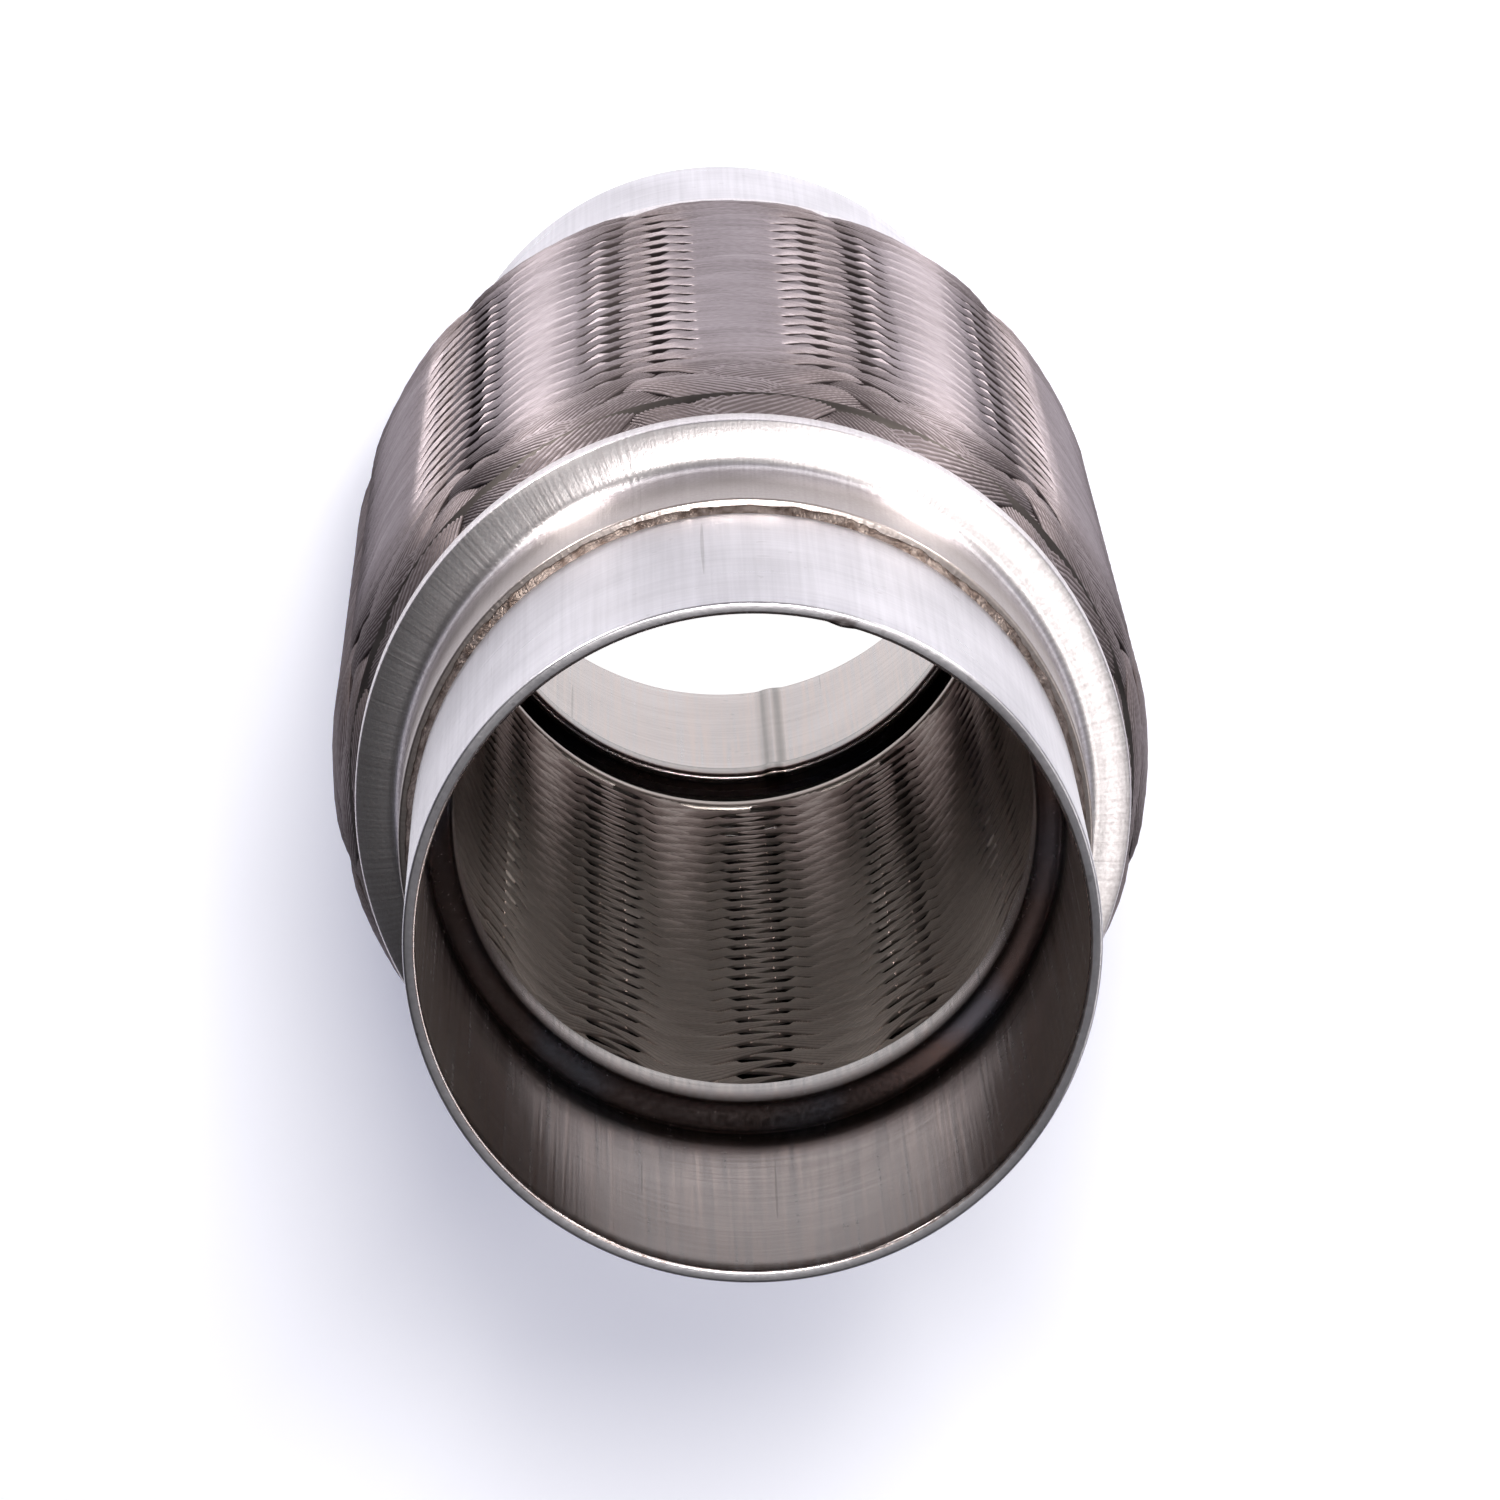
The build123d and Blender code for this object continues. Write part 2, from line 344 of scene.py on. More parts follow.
def metal_surface(tree, tint, roughness, grain, depth, across):
    """Ends a metal's tree; across is how far a highlight spreads across lines that run round the pipe."""
    bump = add(tree, "ShaderNodeBump", {"Distance": depth, "Height": grain})
    look = {"Base Color": tint, "Metallic": 1.0, "Roughness": roughness, "Normal": bump}
    look |= {"Anisotropic": across, "Anisotropic Rotation": 0.25}
    add(tree, "ShaderNodeOutputMaterial", [add(tree, "ShaderNodeBsdfPrincipled", look)])


def speckle(tree, place, scale, detail=2.0):
    """Noise on the pipe's own coordinates, with a scale in grains to the metre for each direction."""
    spread = add(tree, "ShaderNodeMapping", {"Vector": place, "Scale": scale})
    return add(tree, "ShaderNodeTexNoise", {"Vector": spread, "Scale": 1.0, "Detail": detail})


def round_places(tree, place):
    """The way outwards from the axis, and the height, radius and depth behind the nearer end."""
    flat = add(tree, "ShaderNodeVectorMath", [place, (1, 1, 0)], operation="MULTIPLY")
    known = {
        "z": add(tree, "ShaderNodeSeparateXYZ", [place]).outputs["Z"],
        "radius": add(tree, "ShaderNodeVectorMath", [flat], operation="LENGTH").outputs["Value"],
    }
    work_out(tree, known, ("depth", "-", PIPE_LENGTH, "z"), ("depth", "MINIMUM", "depth", "z"))
    return add(tree, "ShaderNodeVectorMath", [flat], operation="NORMALIZE"), known


def drawn_tube(sizes):
    """Seam-welded stainless tube, drawn to size: pale, satin, lined lengthways, brown beside the weld."""
    material, tree, place = new_material("Drawn stainless tube")
    _, known = round_places(tree, place)
    known |= {
        # Draw lines, about 0.1 mm apart in fact and drawn 0.5 mm apart so that they show
        "lines": speckle(tree, place, (2000, 2000, 25)),
        # Handling marks round the tube, 0.8 mm apart
        "marks": speckle(tree, place, (70, 70, 1250)),
        # Clouds 12 mm across, and pits of 0.4 mm
        "clouds": speckle(tree, place, (80, 80, 50)),
        "pits": speckle(tree, place, (900, 900, 900), 0.0),
        # Scratches 0.3 mm wide and up to 40 mm long
        "long": speckle(tree, place, (1500, 1500, 20), 0.0),
        "seam": add(tree, "ShaderNodeAttribute", attribute_name="seam").outputs["Fac"],
    }
    work_out(
        tree,
        known,
        # Heat colours reach up to 4 mm further or less far
        ("heat", "*+", "clouds", 8 * MM, "depth"),
        ("heat", "-", "heat", sizes.heat_depth + 4 * MM),
        ("heat", "/", "heat", 5 * MM),
        ("heat", "MINIMUM", "heat", 0.85),
        ("heat", "MAXIMUM", "heat", 0),
        # They are weaker from the step to the lip
        ("clean", "-", sizes.lip + 0.4 * MM, "depth"),
        ("clean", "/", "clean", 4 * MM),
        ("clean", "MINIMUM", "clean", 1),
        ("clean", "MAXIMUM", "clean", 0.5),
        ("heat", "*", "heat", "clean"),
        ("blue", "-", "clouds", 0.5),
        ("blue", "CLAMPED *", "blue", 7),
        ("both", "*+", "marks", 0.4, "lines"),
        ("dull", "*+", "clouds", 2, "both"),
        ("dull", "CLAMPED -", "dull", 1.2),
        # The seam's bead has dark edges
        ("beside", "-", 1, "seam"),
        ("beside", "*", "beside", "seam"),
        # The inside is a little warmer than the outside
        ("inside", "LESS_THAN", "radius", sizes.radius - sizes.wall + sizes.edge),
        ("streak", "CLAMPED *+", "lines", 1.1, -0.1),
        ("inside", "*", "inside", "streak"),
        ("pit", "GREATER_THAN", "pits", 0.82),
        ("scratch", "GREATER_THAN", "long", 0.84),
        ("scratch", "*", "scratch", "clouds"),
        ("pit", "*+", "pit", 0.3, "scratch"),
        ("pit", "*", "pit", 0.6),
        ("pit", "*+", "beside", 3, "pit"),
        ("rough", "*+", "marks", 0.12, 0.24),
        ("rough", "*+", "inside", -0.15, "rough"),
        ("grain", "*+", "seam", 0.3, "both"),
    )
    heated = layered(tree, known, sizes.brown, ("blue", sizes.blue))
    steel = layered(tree, known, sizes.steel, ("dull", sizes.dull), ("inside", sizes.warm))
    steel = layered(tree, known, steel, ("heat", heated), ("pit", sizes.brown))
    metal_surface(tree, steel, known["rough"], known["grain"], 0.015 * MM, 0.4)
    return material


def spun_sheet(sizes):
    """Stainless sheet spun over a former: matt, its grain pulled open on the flange, its neck browned."""
    material, tree, place = new_material("Spun stainless sheet")
    outwards, known = round_places(tree, place)
    known |= {
        # Sheet grain, 0.05 mm in fact and drawn at 0.35 mm so that it shows
        "grains": speckle(tree, place, (2800, 2800, 2800)),
        # Streaks where the grain is pulled outwards, 0.45 mm apart on the flange
        "streaks": speckle(tree, outwards, (80, 80, 80)),
        "clouds": speckle(tree, place, (120, 120, 60)),
    }
    # Tool rings 0.7 mm apart
    work_out(tree, known, ("ring", "*", "radius", 1400), ("turn", "*", "depth", 1400))
    spot = add(tree, "ShaderNodeCombineXYZ", [known["ring"], known["turn"]])
    known["rings"] = add(tree, "ShaderNodeTexNoise", {"Vector": spot, "Scale": 1.0})
    work_out(
        tree,
        known,
        ("neck", "-", sizes.neck_end + 1 * MM, "depth"),
        # The brown fades over 9 mm
        ("neck", "/", "neck", 9 * MM),
        ("neck", "*+", "clouds", 0.8, "neck"),
        ("neck", "-", "neck", 0.3),
        ("neck", "MINIMUM", "neck", 0.78),
        ("neck", "MAXIMUM", "neck", 0),
        ("both", "+", "grains", "streaks"),
        ("dull", "CLAMPED *+", "both", 1.2, -0.8),
        ("rough", "*+", "grains", 0.1, 0.27),
        ("grain", "*+", "streaks", 1.5, "grains"),
        ("grain", "*+", "rings", 0.8, "grain"),
    )
    steel = layered(tree, known, sizes.steel, ("dull", sizes.dull), ("neck", sizes.brown))
    metal_surface(tree, steel, known["rough"], known["grain"], 0.015 * MM, 0.5)
    return material


def welded(sizes):
    """Weld metal as laid: lumpy, straw to brown, with burnt edges."""
    material, tree, place = new_material("Weld metal")
    # Ripples about 1.2 mm apart, and spatter of 0.3 mm
    known = {
        "ripples": speckle(tree, place, (800, 800, 800)),
        "spatter": speckle(tree, place, (3300, 3300, 3300)),
    }
    work_out(
        tree,
        known,
        ("burnt", "CLAMPED *+", "ripples", 3, -1),
        ("rough", "*+", "spatter", 0.3, 0.25),
        ("grain", "+", "ripples", "spatter"),
    )
    metal = layered(tree, known, sizes.metal, ("burnt", sizes.burnt))
    metal_surface(tree, metal, known["rough"], known["grain"], 0.12 * MM, 0.0)
    return material


def drawn_wire(name, sizes, roughness, across):
    """Drawn stainless wires side by side: bright along each wire, with painted shade in the grooves and where
    they lace.
    """
    material, tree, place = new_material(name)
    known = {
        # Rub marks along the wires, 0.3 mm wide and 8 mm long
        "rubs": speckle(tree, place, (130, 130, 3000)),
        "clouds": speckle(tree, place, (90, 90, 90)),
    }
    for mark in ("groove", "strand", "laced"):
        known[mark] = add(tree, "ShaderNodeAttribute", attribute_name=mark).outputs["Fac"]
    known["tone"] = add(tree, "ShaderNodeTexWhiteNoise", {"W": known["strand"]}, noise_dimensions="1D")
    work_out(
        tree,
        known,
        # Painted shade: the grooves between the wires are painted darker, and more so where strands lace
        ("valley", "POWER", "groove", 2),
        ("dark", "*", "valley", 0.55),
        ("valley", "*", "valley", "laced"),
        ("dark", "*+", "valley", 2 * sizes.grime, "dark"),
        # Real dullness: rub marks, clouds and each strand's own tone
        ("dark", "*+", "rubs", 0.9, "dark"),
        ("dark", "*+", "clouds", 0.5, "dark"),
        ("dark", "*+", "tone", 0.15, "dark"),
        # Painted shade where the strands lace and near the caps
        ("dark", "*+", "laced", sizes.grime, "dark"),
        ("dark", "CLAMPED -", "dark", 0.5),
        ("rough", "*+", "rubs", 0.15, roughness),
        ("rough", "*+", "laced", sizes.grime / 2, "rough"),
    )
    wire = layered(tree, known, sizes.wire, ("dark", sizes.dark))
    metal_surface(tree, wire, known["rough"], known["rubs"], 0.03 * MM, across)
    return material


def formed_sheet(sizes):
    """Thin stainless sheet rolled into folds: satin, ringed by the rolls, dull in patches."""
    material, tree, place = new_material("Formed stainless sheet")
    # Roll rings 0.5 mm apart
    known = {"rings": speckle(tree, place, (60, 60, 2000)), "clouds": speckle(tree, place, (200, 200, 200))}
    work_out(
        tree,
        known,
        ("dull", "*", "rings", "clouds"),
        ("dull", "CLAMPED *", "dull", 2.5),
        ("rough", "*+", "clouds", 0.2, 0.3),
    )
    sheet = layered(tree, known, sizes.steel, ("dull", sizes.dull))
    metal_surface(tree, sheet, known["rough"], known["rings"], 0.02 * MM, 0.4)
    return material


class FLEXPIPE_OT_stage(bpy.types.Operator):
    """Makes the camera, the floor, the lamps and the backdrop"""

    bl_idname = "flexpipe.stage"
    bl_label = "Stage"

    def execute(self, context):
        sizes = context.scene.flexpipe_stage
        camera = linked("Camera", bpy.data.cameras.new("Camera"))
        camera.data.lens = sizes.lens
        camera.data.sensor_width = 36
        camera.data.clip_end = 50
        turned = Matrix.Rotation(-sizes.tilt, 3, "X") @ Matrix.Rotation(sizes.turn, 3, "Y")
        seen = Vector((sizes.aside, -sizes.drop, -sizes.distance))
        camera.location = Vector((0, 0, PIPE_LENGTH)) - turned @ seen
        camera.rotation_euler = turned.to_euler()
        context.scene.camera = camera
        self.floor(context, sizes)
        self.lamps()
        self.backdrop(context)
        context.scene.view_settings.view_transform = "Standard"
        return {"FINISHED"}

    def floor(self, context, sizes):
        """Matt white table top; rays that look at it see it a little lighter than its lamps make it."""
        material, tree, place = new_material("Matt white table")
        rays = add(tree, "ShaderNodeLightPath").outputs
        known = {
            "camera": rays["Is Camera Ray"],
            "glossy": rays["Is Glossy Ray"],
            "clear": rays["Is Transmission Ray"],
            "away": add(tree, "ShaderNodeVectorMath", [place], operation="LENGTH").outputs["Value"],
        }
        work_out(
            tree,
            known,
            ("seen", "+", "camera", "glossy"),
            ("seen", "CLAMPED +", "seen", "clear"),
            # Seen through the pipe, the table glows plain white: painted light where the pipe's own shadow
            # falls
            ("bore", "LESS_THAN", "away", context.scene.flexpipe_tube.radius),
            ("lift", "*+", "bore", 1 - sizes.lift, sizes.lift),
            ("lift", "*", "lift", "seen"),
        )
        tint = layered(tree, known, sizes.shade, ("bore", "#ffffff"))
        look = {"Base Color": linear(sizes.floor), "Roughness": 0.9}
        look |= {"Emission Color": tint, "Emission Strength": known["lift"]}
        shader = add(tree, "ShaderNodeBsdfPrincipled", look)
        add(tree, "ShaderNodeOutputMaterial", [shader])
        half = sizes.table / 2
        corners = [(-half, -half, 0), (half, -half, 0), (half, half, 0), (-half, half, 0)]
        mesh = bpy.data.meshes.new("Floor")
        mesh.from_pydata(corners, [], [(0, 1, 2, 3)])
        mesh.materials.append(material)
        linked("Floor", mesh)

    def lamps(self):
        """Softboxes and strips round the pipe's middle."""
        middle = Vector((0, 0, PIPE_LENGTH / 2))
        # Name, bearing from the picture's top towards its right, height, distance, size, power
        for name, bearing, height, away, size, power in (
            ("Key Softbox", 3, 72, 1.3, (0.17, 0.17), 14.4),
            ("Right Softbox", 68, 46, 1.0, (2.2, 0.22), 6.6),
            ("Right Strip", 37, 3, 0.9, (0.13, 0.4), 4.7),
            ("Left Strip", -35, 3, 0.9, (0.1, 0.4), 5.2),
        ):
            lamp = bpy.data.lights.new(name, "AREA")
            lamp.shape = "RECTANGLE"
            lamp.size, lamp.size_y = size
            lamp.energy = power
            lamp.color = (1, 0.98, 0.94)
            holder = linked(name, lamp)
            turned = Matrix.Rotation(radians(-bearing), 3, "Z") @ Matrix.Rotation(radians(height), 3, "X")
            towards = turned @ Vector((0, 1, 0))
            holder.location = middle + away * towards
            holder.rotation_euler = (-towards).to_track_quat("-Z", "Y").to_euler()

    def backdrop(self, context):
        """A studio that is lighter on the key lamp's side and dim on the other."""
        world = bpy.data.worlds.new("Studio")
        world.use_nodes = True
        tree = world.node_tree
        tree.nodes.clear()
        towards = add(tree, "ShaderNodeTexCoord").outputs["Generated"]
        lit = add(tree, "ShaderNodeVectorMath", [towards, (0.5, 0.6, 0.62)], operation="DOT_PRODUCT")
        # The strength rises from 0.04 to 0.26
        spread = [lit.outputs["Value"], -0.1, 0.9, 0.04, 0.26]
        spread = add(tree, "ShaderNodeMapRange", spread, interpolation_type="SMOOTHSTEP")
        light = add(tree, "ShaderNodeBackground", {"Color": (0.92, 0.94, 1, 1), "Strength": spread})
        add(tree, "ShaderNodeOutputWorld", [light])
        context.scene.world = world


class FLEXPIPE_OT_tube_ends(bpy.types.Operator):
    """Makes the two tube ends with their necks, lips and long seams"""

    bl_idname = "flexpipe.tube_ends"
    bl_label = "Tube Ends"

    def outline(self, sizes, end):
        """The tube's wall, outside from the end face to the lip and back inside."""
        bore = sizes.radius - sizes.wall
        neck = sizes.lip_bore + sizes.wall
        step_end = sizes.straight + sizes.step
        edge = sizes.edge
        outside = arc(sizes.radius - edge, edge, edge, -pi / 2, 0, 4)
        # Rings along the straight keep its faces from being too thin
        outside += [(sizes.radius, depth * MM) for depth in (5, 15, 25, 35, 43)]
        outside += [(sizes.radius, sizes.straight), (neck, step_end)]
        lip = sizes.wall / 2
        tip = arc(sizes.lip_bore + lip, end - lip, lip, 0, pi, 8)
        inside = []
        steps = 12
        for k in range(steps + 1):
            ease = k / steps
            widened = (bore - sizes.lip_bore) * ease * ease * (3 - 2 * ease)
            inside.append((sizes.lip_bore + widened, step_end - (sizes.step + sizes.run_out) * ease))
        inside += [(bore, depth * MM) for depth in (40, 30, 20, 10, 3)]
        inside += arc(bore + edge, edge, edge, pi, 1.5 * pi, 4)
        return outside + tip + inside

    def execute(self, context):
        sizes = context.scene.flexpipe_tube
        bore = sizes.radius - sizes.wall
        steel = drawn_tube(sizes)
        for name, end, seam in (
            ("outlet_nipple", sizes.lip, sizes.outlet_seam),
            ("inlet_nipple", sizes.inlet_lip, sizes.inlet_seam),
        ):
            def bead(turn):
                aside = abs((turn - seam + pi) % (2 * pi) - pi) * bore / (sizes.seam_width / 2)
                return (1 - aside * aside) ** 2 if aside < 1 else 0

            def seamed(r, z, turn):
                return (r, z) if r > bore + sizes.edge else (r - sizes.seam_height * bead(turn), z)

            mesh = lathe(name, at_end(name, self.outline(sizes, end)), shape=seamed)
            marked = mesh.attributes.new("seam", "FLOAT", "POINT")
            for mark, vertex in zip(marked.data, mesh.vertices):
                inside = vertex.co.xy.length < bore + sizes.edge
                mark.value = bead(atan2(vertex.co.y, vertex.co.x)) if inside else 0
            put("Tube_" + name, mesh, steel, name)
        return {"FINISHED"}


class FLEXPIPE_OT_caps(bpy.types.Operator):
    """Makes the two spun caps"""

    bl_idname = "flexpipe.caps"
    bl_label = "Caps"

    def sheet_side(self, sizes, inset):
        """The bent stretch of one side of the sheet, from the neck to the rim."""
        # Inside, the rim is all but sharp
        fillet, rim = sizes.fillet + inset, max(sizes.rim - inset, 0.1 * MM)
        turn, rim_turn = sizes.turn, sizes.rim_turn
        neck, skirt = sizes.neck_radius - inset, sizes.skirt_radius - inset
        rise = skirt - neck - fillet * (1 - cos(turn)) - rim * (1 - cos(rim_turn))
        belly = rise / (cos(rim_turn) - cos(turn))
        bent = arc(neck + fillet, sizes.neck_end, fillet, pi, pi - turn, 10)
        r, depth = bent[-1]
        bent += arc(r - belly * cos(turn), depth + belly * sin(turn), belly, -turn, -rim_turn, 6)[1:]
        depth = bent[-1][1]
        return bent + arc(skirt - rim, depth + rim * sin(rim_turn), rim, -rim_turn, 0, 6)[1:]

    def outline(self, sizes):
        """The cap's sheet, outside from the neck to the skirt and back inside."""
        edge = sizes.edge
        bore = sizes.neck_radius - sizes.wall
        outside = arc(sizes.neck_radius - edge, sizes.front + edge, edge, -pi / 2, 0, 4)
        outside += self.sheet_side(sizes, 0)
        outside += arc(sizes.skirt_radius - edge, sizes.rear - edge, edge, 0, pi / 2, 4)
        inside = arc(sizes.skirt_radius - sizes.wall + edge, sizes.rear - edge, edge, pi / 2, pi, 4)
        inside += reversed(self.sheet_side(sizes, sizes.wall))
        inside += [(bore, sizes.front)]
        return outside + inside

    def execute(self, context):
        sizes = context.scene.flexpipe_cap
        steel = spun_sheet(sizes)
        for name in ("outlet_cap", "inlet_cap"):
            mesh = lathe(name, at_end(name, self.outline(sizes)))
            put("Spun_" + name, mesh, steel, name)
        return {"FINISHED"}


def tree_with(name, sizes):
    """A geometry tree with named inputs, and its input node."""
    tree = bpy.data.node_groups.new(name, "GeometryNodeTree")
    tree.interface.new_socket(name="Geometry", in_out="OUTPUT", socket_type="NodeSocketGeometry")
    kinds = {float: "Float", int: "Int", bpy.types.Material: "Material"}
    for label, value in sizes.items():
        kind = "NodeSocket" + kinds[type(value)]
        tree.interface.new_socket(name=label, in_out="INPUT", socket_type=kind)
    return tree, add(tree, "NodeGroupInput").outputs


def grown(name, tree, sizes, wall=0):
    """The plain mesh that a geometry tree makes with these sizes, given a wall if it has none."""
    maker = linked(name, bpy.data.meshes.new(name))
    modifier = maker.modifiers.new("Shape", "NODES")
    modifier.node_group = tree
    sockets = {item.name: item.identifier for item in tree.interface.items_tree}
    for label, value in sizes.items():
        modifier[sockets[label]] = value
    if wall:
        thicken = maker.modifiers.new("Wall", "SOLIDIFY")
        thicken.thickness = wall
        thicken.offset = -1
    evaluated = maker.evaluated_get(bpy.context.evaluated_depsgraph_get())
    mesh = bpy.data.meshes.new_from_object(evaluated)
    bpy.data.meshes.remove(maker.data)
    if not mesh.polygons:
        raise RuntimeError(f"{name} came out empty")
    mesh.name = name
    return mesh


def weave_tree(name, sizes):
    """Strands of side-by-side wires that wind round the pipe and pass over and under each other."""
    tree, given = tree_with(name, sizes)
    line = add(tree, "GeometryNodeCurvePrimitiveLine", {"End": (1, 0, 0)})
    rail = add(tree, "GeometryNodeResampleCurve", {"Curve": line, "Count": given["Sections"]})
    rails = add(tree, "GeometryNodeDuplicateElements", {"Geometry": rail, "Amount": STRANDS}, domain="SPLINE")
    counted = {"Geometry": rails, "Name": "strand", "Value": rails.outputs["Duplicate Index"]}
    rails = add(tree, "GeometryNodeStoreNamedAttribute", counted, data_type="INT", domain="CURVE")
    # Across a strand: a valley and a crest for each wire on top, and a plain underside
    known = {"index": add(tree, "GeometryNodeInputIndex")}
    known.update((label, given[label]) for label in sizes)
    work_out(
        tree,
        known,
        ("top", "*", "Wires", 2),
        ("count", "+", "top", 4),
        ("below", "GREATER_THAN", "index", "top"),
        ("above", "-", 1, "below"),
        ("over", "/", "index", "top"),
        ("over", "-", 0.5, "over"),
        ("back", "-", "count", "index"),
        ("back", "*+", "back", -0.475, 0.95),
        ("over", "*", "over", "above"),
        ("across", "*+", "back", "below", "over"),
        ("across", "*", "across", "Strand Width"),
        ("crest", "MODULO", "index", 2),
        ("crest", "*", "crest", "above"),
        ("groove", "-", 1, "crest"),
        ("under", "*", "below", "Strand Thickness"),
        ("height", "*", "crest", "Wire Height"),
        ("height", "-", "height", "under"),
    )
    ring = add(tree, "GeometryNodeCurvePrimitiveCircle", {"Resolution": known["count"]})
    spot = add(tree, "ShaderNodeCombineXYZ", [known["across"], known["height"]])
    section = add(tree, "GeometryNodeSetPosition", {"Geometry": ring, "Position": spot})
    marked = {"Geometry": section, "Name": "groove", "Value": known["groove"]}
    section = add(tree, "GeometryNodeStoreNamedAttribute", marked)
    bars = add(tree, "GeometryNodeCurveToMesh", {"Curve": rails, "Profile Curve": section, "Fill Caps": True})
    # The straight bars are wound up: along, across and height become angle, rise and radius
    place = add(tree, "ShaderNodeSeparateXYZ", [add(tree, "GeometryNodeInputPosition")]).outputs
    strand = add(tree, "GeometryNodeInputNamedAttribute", {"Name": "strand"}, data_type="INT")
    known.update(along=place["X"], across=place["Y"], height=place["Z"], strand=strand.outputs["Attribute"])
    work_out(
        tree,
        known,
        ("hand", "*", "Turn", "Side"),
        ("across", "*", "across", -1),
        ("across", "*", "across", "hand"),
        # Sections lie closer together where a strand dives between two stripes
        ("shift", "MODULO", "strand", 2),
        ("shift", "*", "shift", STRAND_PITCH),
        ("even", "*", "along", "Arc"),
        ("wave", "+", "even", "shift"),
        ("wave", "*", "wave", STRIPES),
        ("wave", "SINE", "wave"),
        ("arc", "*+", "wave", GATHER / STRIPES, "even"),
        ("place", "+", "arc", "shift"),
        # The noise runs along a strand, and leaps to the next and to the other direction
        ("wander along", "*", "arc", 2.3),
        ("wander strand", "*", "strand", 5.7),
        ("wander side", "*", "Turn", 31.0),
    )
    # Each strand wanders a little from its line
    course = [known["wander along"], known["wander strand"], known["wander side"]]
    course = add(tree, "ShaderNodeCombineXYZ", course)
    known["wander"] = add(tree, "ShaderNodeTexNoise", {"Vector": course, "Scale": 1.0, "Detail": 1.0})
    work_out(
        tree,
        known,
        ("wander", "-", "wander", 0.5),
        ("wander", "*", "wander", "Unevenness"),
        # Climb of a strand, flatter in the middle of a stripe and steeper near the caps
        ("wave", "*", "place", STRIPES),
        ("sine", "SINE", "wave"),
        ("sine", "*", "sine", "Steepen"),
        ("straight", "*+", "sine", 1 / STRIPES, "arc"),
        ("rate", "/", "Row Pitch", STRAND_PITCH),
        ("climb", "*", "straight", "rate"),
        ("rest", "-", "Arc", "straight"),
    )
    # How near each end is, squared and cubed: 1 there, and 0 an end arc away
    for end, left, part in (("low", "straight", "Low Share"), ("high", "rest", 1)):
        work_out(
            tree,
            known,
            ("near", "/", left, "End Arc"),
            ("near", "MINIMUM", "near", 1),
            ("near", "-", 1, "near"),
            (end, "*", "near", "near"),
            (end, "*", end, part),
            (end + " cube", "*", end, "near"),
        )
    work_out(
        tree,
        known,
        ("ends", "-", "high cube", "low cube"),
        ("ends", "+", "ends", "Low Share"),
        ("climb", "*+", "ends", "End Rise", "climb"),
        # One direction lies half a row beside the other, and more where the rows stand further apart
        ("steep", "+", "high", "low"),
        ("apart", "*+", "steep", STAND_APART, 1),
        ("climb", "*+", "apart", "Offset", "climb"),
        ("climb", "+", "climb", "Low End"),
        ("climb", "+", "climb", "wander"),
        # The strands draw in and stand apart towards the caps
        ("near low", "-", "climb", "Cap Depth"),
        ("near low", "/", "near low", "Open Length"),
        ("near low", "-", 1, "near low"),
        ("near low", "*", "near low", "Low Share"),
        ("near", "-", PIPE_LENGTH, "climb"),
        ("near", "-", "near", "Cap Depth"),
        ("near", "/", "near", "Open Length"),
        ("near", "-", 1, "near"),
        ("near", "CLAMPED MAXIMUM", "near", "near low"),
        # Pinch beside the gaps
        ("off stripe", "PINGPONG", "place", STRAND_PITCH),
        ("beside", "-", "off stripe", "Gap Angle"),
        ("beside", "ABSOLUTE", "beside"),
        ("beside", "/", "beside", "Gap Reach"),
        ("beside", "CLAMPED -", 1, "beside"),
        ("mid", "-", 1, "near"),
        ("mid", "*", "mid", "mid"),
        ("narrow", "*", "beside", "Pinch"),
        ("narrow", "*", "narrow", "mid"),
        ("narrow", "-", 1, "narrow"),
        # A steeper strand is higher along the pipe
        ("narrow", "*+", "steep", "End Spread", "narrow"),
        ("side step", "*", "across", "narrow"),
        ("z", "+", "climb", "side step"),
        # The strands are cut off square inside the caps
        ("z", "MAXIMUM", "z", "Low Cut"),
        ("z", "MINIMUM", "z", "High Cut"),
        # Over and under
        ("edge", "/", "across", "Strand Width"),
        ("lag", "*+", "edge", "Skew", "straight"),
        ("lag", "+", "lag", "shift"),
        ("lag", "-", "lag", "Dive Shift"),
        ("lag", "*", "lag", -STRIPES),
        ("swing", "SINE", "lag"),
        ("swing", "*", "swing", "Sharpness"),
        ("swing", "TANH", "swing"),
        ("raised", "*", "swing", "Lift"),
        ("more", "*+", "near", "End Lift", 1),
        ("raised", "*", "raised", "more"),
        ("raised", "-", "raised", "height"),
        # A laced strand is crowned: its edges lie lower than its middle
        ("laced", "/", "off stripe", STRAND_PITCH),
        ("laced", "*", "laced", "laced"),
        ("laced", "CLAMPED *+", "near", 0.85, "laced"),
        ("edge", "*", "edge", "edge"),
        ("edge", "*", "edge", -4),
        ("edge", "*", "edge", "laced"),
        ("raised", "*+", "edge", "Crown", "raised"),
        ("raised", "*", "raised", "Side"),
        # Swell of the whole sleeve behind the caps
        ("from low", "-", "z", "Cap Depth"),
        ("from high", "-", PIPE_LENGTH, "z"),
        ("from high", "-", "from high", "Cap Depth"),
        ("swell", "MINIMUM", "from low", "from high"),
        ("swell", "CLAMPED /", "swell", "Swell Length"),
        ("swell", "-", 1, "swell"),
        ("swell", "POWER", "swell", "Swell Power"),
        ("swell", "*", "swell", "Swell Rise"),
        ("radius", "-", "Full Radius", "swell"),
        ("radius", "+", "radius", "raised"),
        ("start", "*+", "strand", STRAND_PITCH, "Stripe Angle"),
        ("angle", "*+", "arc", "Turn", "start"),
        ("x", "COSINE", "angle"),
        ("x", "*", "x", "radius"),
        ("y", "SINE", "angle"),
        ("y", "*", "y", "radius"),
    )
